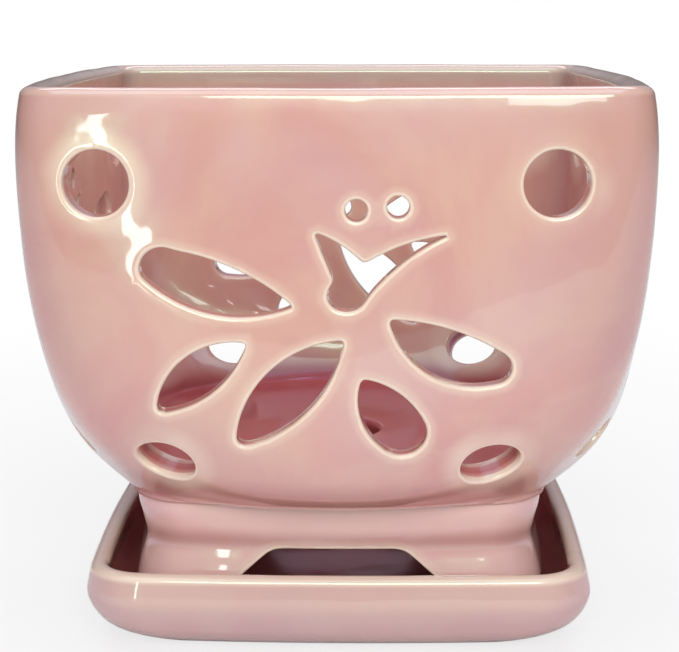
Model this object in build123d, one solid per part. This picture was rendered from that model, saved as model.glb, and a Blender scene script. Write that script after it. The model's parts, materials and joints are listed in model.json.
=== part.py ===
from build123d import *
import os
from math import asin, cos, hypot, pi, sin, sqrt

# A square ceramic orchid pot on a footed base, with cut-outs in its four sides, standing in
# its drip saucer. The origin is on the table under the middle of the saucer. +Z is up and the
# front is at -Y. All lengths are in millimetres.

# Sizes of the pot's bowl
bowl_width = 152.0
bowl_height = 102.5
bowl_wall = 6.2
bowl_base_width = 102.0
rim_width = 149.5
rim_corner_radius = 12.0
rim_bulge = 3.0
rim_lip_radius = 2.4
belly_corner_radius = 35.8
belly_bulge = 12.4

# Sizes of the foot under the bowl
foot_width = 103.0
foot_height = 29.9
foot_wall = 6.5
foot_corner_radius = 14.0
foot_bulge = 2.5
foot_root = 4.0
arch_top_width = 30.0
arch_foot_width = 60.0
arch_height = 19.0
arch_corner_radius = 2.5
drain_diameter = 20.0

# Sizes of the saucer
saucer_width = 124.8
saucer_base_width = 97.0
saucer_height = 21.0
saucer_wall = 4.6
saucer_corner_radius = 14.0
saucer_bulge = 1.2
saucer_lip_radius = 1.8

# Sizes of the cut-outs in each side
round_hole_diameter = 15.0
upper_hole_spacing = 102.0
upper_hole_drop = 21.0
lower_hole_spacing = 76.0
lower_hole_rise = 15.3
eye_diameter = 5.0
pattern_width = 84.0
pattern_rise = 45.5
overrun = 2.0

# Heights that follow from the sizes above
pot_bottom = saucer_wall
crease_height = pot_bottom + foot_height
rim_height = crease_height + bowl_height

# How the bowl's profile and plan run from the crease, at share 0, to the rim, at share 1
profile_power = 6.5
lean_power = 5
roundness_power = 2.5
base_square_share = 0.68
base_square_power = 22
bowl_sections = 12
lip_sections = 3
slope_step_share = 0.0001

# The foot's half-width at evenly spaced heights, from its standing edge to its root
foot_width_shares = [0.924, 0.994, 1.000, 0.972, 0.940, 0.955, 0.968, 0.960]

# The saucer from its base to its lip: share of the height, and share of the half-width
# between the base and the full width
saucer_station_shares = [
    (0.00, 0.00),
    (0.07, 0.25),
    (0.19, 0.54),
    (0.31, 0.74),
    (0.43, 0.86),
    (0.57, 0.95),
    (0.74, 1.00),
    (1.00, 0.94),
]

# The arch between two feet, from its knee to the floor, as shares of its rise and its slant
arch_knee_share = 0.55

# The cut-outs as shares of the pattern's width, right and up from the pattern's middle. Each
# outline is a closed chain of arcs: an end, a point on the arc, the next end, and so on.
cutout_shares = {
    "upper_petal": [
        (-0.085, 0.104), (-0.236, 0.213), (-0.402, 0.262),
        (-0.485, 0.237), (-0.496, 0.183), (-0.315, 0.083),
    ],
    "small_petal": [
        (-0.211, 0.005), (-0.371, -0.033), (-0.465, -0.183),
        (-0.461, -0.199), (-0.443, -0.200), (-0.300, -0.129),
    ],
    "middle_petal": [
        (0.049, 0.015), (-0.140, -0.061), (-0.246, -0.257),
        (-0.240, -0.283), (-0.215, -0.287), (-0.044, -0.176),
    ],
    "right_petal": [
        (0.167, 0.071), (0.329, 0.043), (0.471, -0.024),
        (0.500, -0.073), (0.448, -0.115), (0.269, -0.079),
    ],
    "drop_petal": [
        (0.095, -0.090), (0.205, -0.139), (0.271, -0.229),
        (0.245, -0.299), (0.152, -0.290), (0.093, -0.204),
    ],
    "forked_body": [
        (-0.031, 0.304), (0.038, 0.271), (0.100, 0.219),
        (0.205, 0.269), (0.326, 0.296), (0.193, 0.214),
        (0.111, 0.131), (0.070, 0.092), (0.015, 0.105),
        (0.002, 0.136), (0.023, 0.170), (0.000, 0.225),
    ],
}
eye_shares = [(0.080, 0.361), (0.190, 0.370)]


def blend(low, high, share):
    return low + (high - low) * share


def bowed_square(station):
    """A square with bowed sides and round corners, as a face at the station's height."""
    height, half_width, bulge, corner_radius = station
    inner = half_width - corner_radius
    corner = inner - bulge
    bow_radius = (corner**2 + bulge**2) / (2 * bulge)
    half_angle = asin(corner / bow_radius)
    side_radius = bow_radius + corner_radius
    side_end = side_radius * sin(half_angle)
    side_depth = inner - bow_radius + side_radius * cos(half_angle)
    corner_middle = corner + corner_radius / sqrt(2)
    edges = []
    for quarter in range(4):
        side = ThreePointArc((-side_end, -side_depth), (0, -half_width), (side_end, -side_depth))
        turn = ThreePointArc(
            (side_end, -side_depth), (corner_middle, -corner_middle), (side_depth, -side_end)
        )
        edges += [side.rotate(Axis.Z, 90 * quarter), turn.rotate(Axis.Z, 90 * quarter)]
    return Pos(0, 0, height) * Face(Wire(edges))


def skin(stations, ruled=False):
    return loft([bowed_square(station) for station in stations], ruled=ruled)


def moved_in(station, wall, rise, run):
    """The station moved in by the wall, square to a profile that climbs by rise over run."""
    height, half_width, bulge, corner_radius = station
    length = hypot(rise, run)
    inset = wall * rise / length
    return height + wall * run / length, half_width - inset, bulge, corner_radius - inset


def four_sides(cutter):
    return [cutter.rotate(Axis.Z, 90 * quarter) for quarter in range(4)]


def lip(station, radius, wall, direction):
    """Stations that round the top of a wall over, outwards for -1 and inwards for 1."""
    height, half_width, bulge, corner_radius = station
    stations = []
    for step in range(lip_sections + 1):
        angle = pi / 2 * step / lip_sections
        shift = direction * radius * (1 - cos(angle))
        stations.append(
            (height + radius * sin(angle), half_width - wall + shift, bulge,
             corner_radius - wall + shift)
        )
    return stations


def open_top(stations):
    """Carries the last station of a hollow straight up, past the lip."""
    height, *plan = stations[-1]
    return skin([stations[-1], (height + overrun, *plan)], ruled=True)


def bowl_station(share):
    """One section of the bowl, which swells fast off its base and leans in at the rim."""
    swell = sqrt(1 - (1 - share) ** profile_power)
    half_width = blend(bowl_base_width, bowl_width, swell) / 2
    half_width -= (bowl_width - rim_width) / 2 * share**lean_power
    roundness = (1 - share) ** roundness_power
    roundness *= 1 - base_square_share * (1 - share) ** base_square_power
    body_height = bowl_height - rim_lip_radius
    return (
        crease_height + body_height * share,
        half_width,
        blend(rim_bulge, belly_bulge, roundness),
        blend(rim_corner_radius, belly_corner_radius, roundness),
    )


def bowl_inner_station(share):
    """The bowl's section moved in by the wall, square to the profile at that height."""
    station = bowl_station(share)
    if share == 0:
        return station[0] + bowl_wall, *station[1:]
    if share == 1:
        return moved_in(station, bowl_wall, 1, 0)
    below = bowl_station(share - slope_step_share)
    above = bowl_station(share + slope_step_share)
    return moved_in(station, bowl_wall, above[0] - below[0], above[1] - below[1])


def bowl_shares():
    """Shares of the height, close together at the base, where the profile turns."""
    return [(step / bowl_sections) ** 2 for step in range(bowl_sections + 1)]


def bowl_body():
    stations = [bowl_station(share) for share in bowl_shares()]
    return skin(stations) + skin(lip(stations[-1], rim_lip_radius, 0, -1), ruled=True)


def bowl_hollow():
    stations = [bowl_inner_station(share) for share in bowl_shares()]
    top = lip(bowl_station(1), rim_lip_radius, bowl_wall, 1)
    return skin(stations) + skin(top, ruled=True) + open_top(top)


def foot_stations(height, wall):
    """The foot's waisted profile, carried up through the given height."""
    steps = len(foot_width_shares) - 1
    return [
        (pot_bottom + height * step / steps, foot_width / 2 * share - wall, foot_bulge,
         foot_corner_radius - wall)
        for step, share in enumerate(foot_width_shares)
    ]


def foot_hollow():
    stations = foot_stations(foot_height, foot_wall)
    bottom = (pot_bottom - overrun, *stations[0][1:])
    return skin(stations) + skin([bottom, stations[0]], ruled=True)


def arch_cutter():
    """One straight tunnel from front to back, with the outline of the arch between the feet."""
    top, bottom = pot_bottom + arch_height, pot_bottom - overrun
    knee = blend(pot_bottom, top, arch_knee_share)
    half_top, half_foot = arch_top_width / 2, arch_foot_width / 2
    half_knee = blend(half_foot, half_top, arch_knee_share**2)
    profile = Polyline(
        (-half_foot, bottom), (-half_foot, pot_bottom), (-half_knee, knee), (-half_top, top),
        (half_top, top), (half_knee, knee), (half_foot, pot_bottom), (half_foot, bottom),
        close=True,
    )
    outline = make_face(profile.edges())
    rounded = [v for v in outline.vertices() if v.Y > pot_bottom + overrun]
    outline = fillet(rounded, arch_corner_radius)
    return extrude(Plane.XZ * outline, foot_width, both=True)


def cutout_face(shares):
    """The closed chain of arcs through one cut-out's points, on the upright middle plane."""
    middle_height = crease_height + pattern_rise
    points = [(x * pattern_width, middle_height + z * pattern_width) for x, z in shares]
    points.append(points[0])
    arcs = [ThreePointArc(*points[i:i + 3]) for i in range(0, len(shares), 2)]
    return Plane.XZ * make_face(arcs)


def pattern_cutters():
    cutters = [extrude(cutout_face(shares), bowl_width) for shares in cutout_shares.values()]
    middle_height = crease_height + pattern_rise
    for x, z in eye_shares:
        place = Pos(x * pattern_width, middle_height + z * pattern_width)
        cutters.append(extrude(Plane.XZ * place * Circle(eye_diameter / 2), bowl_width))
    return cutters


def round_hole_cutters(body):
    """Round holes, each cut square to the wall at the point where it enters."""
    cutters = []
    for spacing, height in (
        (upper_hole_spacing, rim_height - upper_hole_drop),
        (lower_hole_spacing, crease_height + lower_hole_rise),
    ):
        for side in (-1, 1):
            line = Axis((side * spacing / 2, -bowl_width, height), (0, 1, 0))
            hits = body.shell().find_intersection_points(line)
            point, normal = min(hits, key=lambda hit: hit[0].Y)
            disc = Plane(origin=point, z_dir=normal) * Circle(round_hole_diameter / 2)
            cutters.append(extrude(disc, 2 * bowl_wall, both=True))
    return cutters


def make_pot():
    """Bowl and foot as one casting, hollowed, arched between the feet and pierced."""
    body = bowl_body()
    cutters = pattern_cutters() + round_hole_cutters(body)
    pot = body + skin(foot_stations(foot_height + foot_root, 0))
    pot = pot - bowl_hollow() - foot_hollow()
    arch = arch_cutter()
    drain = Pos(0, 0, crease_height) * Cylinder(drain_diameter / 2, 4 * bowl_wall)
    return pot - [arch, arch.rotate(Axis.Z, 90), drain] - [
        turned for cutter in cutters for turned in four_sides(cutter)
    ]


def saucer_stations():
    body_height = saucer_height - saucer_lip_radius
    return [
        (body_height * height_share, blend(saucer_base_width, saucer_width, width_share) / 2,
         saucer_bulge, saucer_corner_radius)
        for height_share, width_share in saucer_station_shares
    ]


def make_saucer():
    """A shallow square tray whose wall swells out above a narrower base."""
    stations = saucer_stations()
    inner = [(stations[0][0] + saucer_wall, *stations[0][1:])]
    for below, here, above in zip(stations, stations[1:], stations[2:]):
        inner.append(moved_in(here, saucer_wall, above[0] - below[0], above[1] - below[1]))
    inner.append(moved_in(stations[-1], saucer_wall, 1, 0))
    top = lip(stations[-1], saucer_lip_radius, saucer_wall, 1)
    tray = skin(stations) + skin(lip(stations[-1], saucer_lip_radius, 0, -1), ruled=True)
    return tray - skin(inner) - skin(top, ruled=True) - open_top(top)


os.makedirs("parts", exist_ok=True)
for name, piece in (("pot", make_pot()), ("saucer", make_saucer())):
    piece.label = name
    export_step(piece, f"parts/{name}.step")
    print(name, round(piece.volume), piece.bounding_box().size)
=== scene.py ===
# %% [markdown]
# # A pink orchid pot in its saucer
# A square orchid pot stands on an arched foot in a drip saucer. Petals and round holes are cut
# through all four of its sides, so that air reaches the roots. Both pieces were cast in clay and
# dipped in a glossy, pearly pink glaze, which runs thin and turns cream wherever the clay has an
# edge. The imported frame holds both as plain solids, and this lesson gives each a smooth skin of
# its own, with rolled edges, glaze and light.

# %% Load the frame
import json
from math import hypot, pi, radians, sin, sqrt

import bpy
import numpy as np
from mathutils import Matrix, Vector
from mathutils.geometry import delaunay_2d_cdt

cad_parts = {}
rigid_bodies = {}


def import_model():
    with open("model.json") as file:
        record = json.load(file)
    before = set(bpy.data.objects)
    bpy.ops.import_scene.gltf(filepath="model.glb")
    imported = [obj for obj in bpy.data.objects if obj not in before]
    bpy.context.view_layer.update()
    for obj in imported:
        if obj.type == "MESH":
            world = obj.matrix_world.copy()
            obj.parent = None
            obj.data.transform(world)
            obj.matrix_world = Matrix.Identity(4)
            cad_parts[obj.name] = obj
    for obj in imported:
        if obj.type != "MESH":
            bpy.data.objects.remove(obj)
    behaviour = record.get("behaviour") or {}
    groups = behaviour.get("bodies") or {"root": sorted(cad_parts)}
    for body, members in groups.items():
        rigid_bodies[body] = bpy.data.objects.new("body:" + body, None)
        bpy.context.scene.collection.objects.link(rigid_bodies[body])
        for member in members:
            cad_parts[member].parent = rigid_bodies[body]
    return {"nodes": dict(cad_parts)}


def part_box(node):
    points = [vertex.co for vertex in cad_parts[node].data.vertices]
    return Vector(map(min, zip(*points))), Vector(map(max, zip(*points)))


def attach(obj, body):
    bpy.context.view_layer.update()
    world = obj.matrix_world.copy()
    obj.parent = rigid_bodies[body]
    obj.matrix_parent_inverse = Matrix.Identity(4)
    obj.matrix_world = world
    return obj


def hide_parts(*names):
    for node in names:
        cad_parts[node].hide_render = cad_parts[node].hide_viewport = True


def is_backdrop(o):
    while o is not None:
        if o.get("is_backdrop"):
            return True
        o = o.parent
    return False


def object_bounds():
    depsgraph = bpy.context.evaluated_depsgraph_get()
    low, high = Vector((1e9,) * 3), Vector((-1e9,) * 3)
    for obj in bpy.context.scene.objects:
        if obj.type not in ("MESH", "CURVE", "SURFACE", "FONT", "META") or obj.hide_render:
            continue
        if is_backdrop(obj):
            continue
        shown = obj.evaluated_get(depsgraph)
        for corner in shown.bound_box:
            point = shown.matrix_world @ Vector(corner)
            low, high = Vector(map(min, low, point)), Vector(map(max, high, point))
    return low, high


for item in list(bpy.data.objects):
    bpy.data.objects.remove(item)
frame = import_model()
cad_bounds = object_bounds()
for name in frame["nodes"]:
    low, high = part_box(name)
    print(name, "is", [round(1000 * side) for side in high - low], "mm")

# %% [markdown]
# All lengths of the pieces are millimetres, as on a drawing. They turn into Blender's metres only
# when a mesh is made. The heights come from the frame. The other sizes are the solids' own, some
# of them set a few millimetres closer to the photo.

# %% Sizes of the pot and the saucer
mm = 0.001
pot_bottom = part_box("pot")[0].z / mm
rim_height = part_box("pot")[1].z / mm
saucer_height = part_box("saucer")[1].z / mm

bowl_width = 152.0
bowl_height = 100.6
bowl_wall = 6.2
bowl_base_width = 108.5
rim_lean = 1.25
rim_corner_radius = 12.0
rim_bulge = 3.0
rim_lip_radius = 2.4
belly_corner_radius = 35.8
belly_bulge = 12.4

foot_width = 108.0
foot_wall = 6.5
foot_corner_radius = 14.0
foot_bulge = 2.5
foot_root = 3.0
crease_radius = 1.0
crease_blend = 6.7
arch_top_width = 32.0
arch_foot_width = 62.0
arch_height = 20.1
arch_corner_radius = 2.5
drain_diameter = 20.0

saucer_width = 125.8
saucer_base_width = 98.0
saucer_wall = 4.6
saucer_corner_radius = 14.0
saucer_bulge = 1.2
saucer_lip_radius = 1.8

crease_height = rim_height - bowl_height
print("the bowl runs from", round(crease_height, 1), "to", round(rim_height, 1), "mm")

# %% [markdown]
# Every level section of the pot is the same figure: a square whose sides bow out a little and
# whose corners are round. Two arcs draw it, one for the side and one for the corner. A station
# is such a section at one height, given by its height, half width, bow and corner radius. A
# quarter of it, from corner to corner, is measured by its length along, zero in the middle.


# %% A section of bowed sides and round corners
def arcs(half_width, bulge, corner_radius):
    """Radius and half angle of the side's arc, and the centres of both arcs."""
    inner = half_width - corner_radius
    corner = inner - bulge
    bow_radius = (corner**2 + bulge**2) / (2 * bulge)
    half_angle = np.arcsin(corner / bow_radius)
    return bow_radius + corner_radius, half_angle, bow_radius - inner, corner


def half_length(plan):
    """Length of a quarter of the section, from the middle of a side to the middle of a corner."""
    side_radius, half_angle, _, _ = arcs(*plan)
    return side_radius * half_angle + plan[2] * (pi / 4 - half_angle)


def plan_point(along, plan):
    """The x and y of a point on the front quarter of the section."""
    side_radius, half_angle, side_centre, corner = arcs(*plan)
    distance = np.abs(along)
    side_length = side_radius * half_angle
    on_side = distance <= side_length
    turn = np.where(
        on_side, distance / side_radius, half_angle + (distance - side_length) / plan[2]
    )
    radius = np.where(on_side, side_radius, plan[2])
    x = np.where(on_side, 0, corner) + radius * np.sin(turn)
    y = np.where(on_side, side_centre, -corner) - radius * np.cos(turn)
    return np.sign(along) * x, y


def plan_along(x, plan):
    """The length along the section at which it reaches a given x."""
    side_radius, half_angle, _, corner = arcs(*plan)
    reach = np.abs(x)
    on_side = reach <= side_radius * np.sin(half_angle)
    side = side_radius * np.arcsin(np.clip(reach / side_radius, 0, 1))
    turn = np.arcsin(np.clip((reach - corner) / plan[2], 0, 1))
    round_corner = side_radius * half_angle + plan[2] * (turn - half_angle)
    return np.sign(x) * np.where(on_side, side, round_corner)


rim_plan = (bowl_width / 2 - rim_lean, rim_bulge, rim_corner_radius)
print("a quarter of the rim is", round(2 * half_length(rim_plan), 1), "mm long")

# %% [markdown]
# A cast pot is one closed skin. Seen in a cut through its middle, that skin is one line: up the
# outside of the foot, round the crease, up the bowl, over the lip, down the inside, along the
# floor, through the drain hole, and back under the floor to the standing edge. So the whole pot
# is described by one list of stations along that line, and a place on the skin is given by two
# lengths, along the section and up the line.


# %% The line that the skin follows
def through(shares, at):
    """A smooth curve through evenly spaced values, read at places between 0 and 1."""
    steps = len(shares) - 1
    ends = [2 * shares[0] - shares[1], *shares, 2 * shares[-1] - shares[-2]]
    knots = np.array(ends)
    index = np.minimum((at * steps).astype(int), steps - 1)
    part = at * steps - index
    before, here, after, beyond = (knots[index + k] for k in range(4))
    bend = 2 * before - 5 * here + 4 * after - beyond
    turn = 3 * (here - after) + beyond - before
    return here + part / 2 * (after - before + part * (bend + part * turn))


def blend(low, high, share):
    return low + (high - low) * share


def stations(height, half_width, bulge, corner_radius):
    columns = np.broadcast_arrays(height, half_width, bulge, corner_radius)
    return np.column_stack(columns).astype(float)


def moved_in(line, wall):
    """Stations moved in by the wall, square to the line that they follow."""
    rise, run = np.gradient(line[:, 0]), np.gradient(line[:, 1])
    length = np.hypot(rise, run)
    inset = wall * rise / length
    return stations(line[:, 0] + wall * run / length, line[:, 1] - inset, line[:, 2],
                    line[:, 3] - inset)


def rounded(start, height_radius, width_radius, first, last, steps=12):
    """Stations round a quarter of an ellipse whose middle is given by the first station."""
    turn = np.radians(np.linspace(first, last, steps))
    height, half_width, bulge, corner_radius = start
    shift = width_radius * np.cos(turn)
    return stations(height + height_radius * np.sin(turn), half_width + shift, bulge,
                    corner_radius + shift)


def over_lip(end, wall, lip_radius):
    """Stations over a lip, from the outer face of the wall to the inner one."""
    depth = wall / 2
    middle = (end[0], end[1] - depth, end[2], end[3] - depth)
    return rounded(middle, lip_radius, depth, 0, 180, steps=23)


class Skin:
    """A closed skin, unrolled: stations by their length up the line."""

    def __init__(self, *lines):
        line = np.vstack(lines)
        step = np.hypot(np.diff(line[:, 0]), np.diff(line[:, 1]))
        keep = np.r_[True, step > 1e-6]
        self.line = line[keep]
        self.up = np.r_[0, np.cumsum(step)][keep]
        self.length = self.up[-1]
        self.top = self.up[np.argmax(self.line[:, 0])]

    def at(self, up):
        return [np.interp(up, self.up, column) for column in self.line.T]

    def reach(self, up):
        return half_length(self.at(up)[1:])

    def point(self, along, up):
        height, *plan = self.at(up)
        x, y = plan_point(along, plan)
        return np.stack([x, y, height], axis=-1)

    def normal(self, along, up, step=0.05):
        right = self.point(along + step, up) - self.point(along - step, up)
        rise = self.point(along, up + step) - self.point(along, up - step)
        cross = np.cross(right, rise)
        return cross / np.linalg.norm(cross, axis=-1, keepdims=True)


print("a curve through 0, 1, 0 is", through([0, 1, 0], np.array([0.25])).round(2), "at a quarter")

# %% [markdown]
# The bowl swells fast off its base and leans in a little at the rim. A power of the height
# draws that swell with one formula, and the corners change from very round at the belly to
# tight at the rim. The foot has a band, a waist and a flare, as a cast foot often has, and a
# short list of shares of its width gives them.

# %% The pot's line
foot_width_shares = [0.905, 0.982, 0.986, 0.968, 0.945, 0.957, 0.974, 0.970]
profile_power = 7.2
lean_power = 14
roundness_power = 2.5
base_square_share = 0.68
base_square_power = 22
line_steps = 160

share = np.linspace(0, 1, line_steps) ** 2
roundness = (1 - share) ** roundness_power
roundness *= 1 - base_square_share * (1 - share) ** base_square_power
swell = np.sqrt(1 - (1 - share) ** profile_power)
bowl = stations(
    crease_height + (bowl_height - rim_lip_radius) * share,
    blend(bowl_base_width, bowl_width, swell) / 2 - rim_lean * share**lean_power,
    blend(rim_bulge, belly_bulge, roundness),
    blend(rim_corner_radius, belly_corner_radius, roundness),
)
bowl_inside = moved_in(bowl, bowl_wall)[::-1]

foot_height = crease_height - pot_bottom
foot_share = np.linspace(0, 1, 60)
foot_outside = stations(
    pot_bottom + (foot_height + foot_root) * foot_share,
    foot_width / 2 * through(foot_width_shares, foot_share), foot_bulge, foot_corner_radius,
)
foot_outside = foot_outside[foot_outside[:, 0] < crease_height - crease_radius]
foot_inside = stations(
    pot_bottom + foot_height * foot_share,
    foot_width / 2 * through(foot_width_shares, foot_share) - foot_wall, foot_bulge,
    foot_corner_radius - foot_wall,
)[::-1]
print("the bowl's line has", len(bowl), "stations and the foot's", len(foot_outside))

# %% Close the pot's line
crease_start = foot_outside[-1]
crease_middle = (crease_height - crease_radius, crease_start[1] + crease_radius,
                 crease_start[2], crease_start[3] + crease_radius)
crease = rounded(crease_middle, crease_radius, crease_radius, 180, 90)
inside_crease = np.clip(1 - (bowl[:, 1] - crease_middle[1]) / crease_blend, 0, 1)[:, None]
foot_plan = np.array([foot_bulge, foot_corner_radius + crease_radius])
bowl[:, 2:] = blend(bowl[:, 2:], foot_plan, inside_crease**2)

floor_height = bowl_inside[-1, 0]
drain_edge_radius = 1.6
drain_radius = drain_diameter / 2


def round_plan(half_width, corner=0.02):
    """The bow and corner radius that turn the section into a circle."""
    return corner * (1 - sqrt(0.5)) * sqrt(2), half_width - corner


def level_ring(height, outer, inner_half_width, steps=24):
    """A flat ring of stations from a station of the skin to a circle round the drain."""
    part = np.linspace(0, 1, steps)
    bulge, corner_radius = round_plan(inner_half_width)
    return stations(height, blend(outer[1], inner_half_width, part),
                    blend(outer[2], bulge, part), blend(outer[3], corner_radius, part))


drain_top = (floor_height - drain_edge_radius, drain_radius + drain_edge_radius,
             *round_plan(drain_radius + drain_edge_radius))
drain_low = (crease_height + drain_edge_radius, *drain_top[1:])
pot_skin = Skin(
    foot_outside, crease, bowl[bowl[:, 1] > crease[-1, 1]],
    over_lip(bowl[-1], bowl_wall, rim_lip_radius), bowl_inside,
    level_ring(floor_height, bowl_inside[-1], drain_radius + drain_edge_radius),
    rounded(drain_top, drain_edge_radius, drain_edge_radius, 90, 180),
    rounded(drain_low, drain_edge_radius, drain_edge_radius, 180, 270),
    level_ring(crease_height, foot_inside[0], drain_radius + drain_edge_radius)[::-1],
    foot_inside,
)
print("the pot's line is", round(pot_skin.length), "mm long")

# %% [markdown]
# The cut-outs are outlines on an upright plane in front of the pot. Each is a chain of arcs: an
# end, a point on the arc, the next end. Evenly spaced points follow the arcs, and a little
# smoothing rounds the tips, where the glaze fills them. Holes in soft clay are cut straight
# through, so each outline is carried along its own axis to the outer skin and to the inner one.

# %% Outlines of the cut-outs
pattern_width = 84.0
pattern_height = crease_height + 43.6
pattern_shift = -2.0
upper_hole = (51.0, rim_height - 21.0)
lower_hole = (38.0, crease_height + 13.4)
hole_radius = 7.5
lower_height_share = 0.8
eye_radius = 2.5
back_rise = 2.8
outline_step = 0.75

cutout_shares = {
    "upper_petal": [
        (-0.085, 0.104), (-0.236, 0.203), (-0.402, 0.253),
        (-0.485, 0.237), (-0.496, 0.183), (-0.315, 0.083),
    ],
    "small_petal": [
        (-0.211, 0.005), (-0.371, -0.033), (-0.465, -0.183),
        (-0.461, -0.199), (-0.443, -0.200), (-0.300, -0.129),
    ],
    "middle_petal": [
        (0.049, 0.015), (-0.140, -0.061), (-0.246, -0.257),
        (-0.240, -0.283), (-0.215, -0.287), (-0.044, -0.176),
    ],
    "right_petal": [
        (0.167, 0.071), (0.329, 0.043), (0.471, -0.024),
        (0.500, -0.073), (0.448, -0.115), (0.269, -0.079),
    ],
    "drop_petal": [
        (0.095, -0.090), (0.205, -0.139), (0.271, -0.229),
        (0.245, -0.299), (0.152, -0.290), (0.093, -0.204),
    ],
    "forked_body": [
        (-0.031, 0.304), (0.038, 0.271), (0.100, 0.219),
        (0.205, 0.269), (0.326, 0.296), (0.193, 0.214),
        (0.111, 0.131), (0.070, 0.092), (0.015, 0.105),
        (0.002, 0.136), (0.023, 0.170), (0.000, 0.225),
    ],
}
eye_shares = [(0.080, 0.361), (0.190, 0.370)]


def arc_points(start, middle, end, count=40):
    """Points round the arc through three points."""
    start, middle, end = (np.array(p) for p in (start, middle, end))
    a, b = middle - start, end - start
    double_area = 2 * (a[0] * b[1] - a[1] * b[0])
    x = (b[1] * (a @ a) - a[1] * (b @ b)) / double_area
    z = (a[0] * (b @ b) - b[0] * (a @ a)) / double_area
    centre, radius = start + (x, z), hypot(x, z)
    angles = np.unwrap([np.arctan2(*(p - centre)[::-1]) for p in (start, middle, end)])
    turn = np.linspace(angles[0], angles[2], count, endpoint=False)
    return centre + radius * np.column_stack([np.cos(turn), np.sin(turn)])


def evenly(points, step, closed=True):
    """The same line with evenly spaced points."""
    ring = np.vstack([points, points[:1]]) if closed else points
    length = np.r_[0, np.cumsum(np.hypot(*np.diff(ring, axis=0).T))]
    count = max(int(round(length[-1] / step)), 8)
    places = np.linspace(0, length[-1], count + 1)[: count if closed else count + 1]
    return np.column_stack([np.interp(places, length, ring[:, k]) for k in range(2)])


def softened(points, times):
    """A closed outline with its tips rounded."""
    for _ in range(times):
        points = (np.roll(points, 1, axis=0) + 2 * points + np.roll(points, -1, axis=0)) / 4
    return points


def turns_left(points):
    """Whether an outline runs anticlockwise."""
    x, z = points.T
    return np.sum(x * np.roll(z, -1) - z * np.roll(x, -1)) > 0


petals = {}
for name, shares in cutout_shares.items():
    ends = [(pattern_shift + x * pattern_width, pattern_height + z * pattern_width)
            for x, z in shares]
    ends.append(ends[0])
    chain = np.vstack([arc_points(*ends[i:i + 3]) for i in range(0, len(shares), 2)])
    outline = evenly(chain, outline_step)
    petals[name] = softened(outline if turns_left(outline) else outline[::-1], 3)
print({name: len(points) for name, points in petals.items()})

# %% [markdown]
# The arch between two feet is an open outline, standing on the edge that the pot rests on. Its
# upper corners are rounded and its sides run out at a slant.

# %% Outline of the arch
arch_knee_share = 0.55
arch_top = pot_bottom + arch_height
arch_knee = blend(arch_foot_width / 2, arch_top_width / 2, arch_knee_share**2)
arch_half = [
    (arch_top_width / 2, arch_top), (arch_knee, blend(pot_bottom, arch_top, arch_knee_share)),
    (arch_foot_width / 2, pot_bottom),
]
arch_corners = [(-x, z) for x, z in arch_half[::-1]] + arch_half
arch = evenly(np.array(arch_corners), outline_step, closed=False)
rounding_times = int((arch_corner_radius / outline_step) ** 2)
for _ in range(rounding_times):
    arch[1:-1] = (arch[:-2] + 2 * arch[1:-1] + arch[2:]) / 4
print("the arch has", len(arch), "points")

# %% [markdown]
# To carry a point of an outline onto the skin, its line is followed along the cutting axis until
# it meets the surface. The meeting place is then read off as a length along the section and a
# length up the line, which is where the unrolled skin gets its hole.


# %% Carry an outline onto the unrolled skin
class Side:
    """One side of the wall: the stretch of the skin's line in which heights are found."""

    def __init__(self, skin, low_up, high_up, rising):
        inside = (skin.up >= low_up) & (skin.up <= high_up)
        order = slice(None) if rising else slice(None, None, -1)
        self.skin = skin
        self.up = skin.up[inside][order]
        self.height = np.maximum.accumulate(skin.line[inside, 0][order])

    def place(self, x, z):
        up = np.interp(z, self.height, self.up)
        return plan_along(x, self.skin.at(up)[1:]), up

    def pierce(self, points, axis, rounds=60):
        """Lengths along and up at which lines through the points meet this side."""
        travel = np.zeros(len(points))
        for _ in range(rounds):
            at = points + travel[:, None] * axis
            along, up = self.place(at[:, 0], at[:, 2])
            travel += 0.5 * (self.skin.point(along, up)[:, 1] - at[:, 1]) / axis[1]
        return np.column_stack([along, up])


lip_up = pot_skin.top
after_lip = pot_skin.up > lip_up
floor_up = pot_skin.up[after_lip][np.argmax(pot_skin.line[after_lip, 0] <= floor_height + 0.01)]
ceiling_up = pot_skin.length - (foot_height + 2)
outer_side = Side(pot_skin, 0, lip_up, True)
inner_side = Side(pot_skin, lip_up, floor_up, False)
foot_side = Side(pot_skin, ceiling_up, pot_skin.length, False)
print("lip at", round(lip_up), "floor at", round(floor_up), "of", round(pot_skin.length), "mm")


# %% Every cut, on both sides of the wall
straight_in = np.array([0.0, 1.0, 0.0])
hole_roll, inner_roll, eye_roll, standing_roll = 0.8, 0.7, 0.6, 0.5
standing_height = pot_bottom + standing_roll


def circle(centre, normal, radius, step=outline_step, height_share=1.0):
    """Points anticlockwise round a circle, seen from outside, or round a flatter one."""
    right = np.cross((0, 0, 1), normal)
    right /= np.linalg.norm(right)
    rise = np.cross(normal, right)
    count = int(round(2 * pi * radius / step))
    turn = 2 * pi * np.arange(count)[:, None] / count
    return centre + radius * (np.cos(turn) * right + height_share * np.sin(turn) * rise)


def upright(points):
    """Points of a flat outline, stood up in front of the pot."""
    return np.column_stack([points[:, 0], np.full(len(points), -bowl_width / 2), points[:, 1]])


def make_cut(name, points, axis, roll, tilted=False):
    """A cut's outlines on both sides of the wall, and the rolls of its edges."""
    return {
        "name": name, "axis": axis if tilted else None, "rolls": (roll, inner_roll),
        "outlines": (outer_side.pierce(points, axis), inner_side.pierce(points, axis)),
    }


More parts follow.
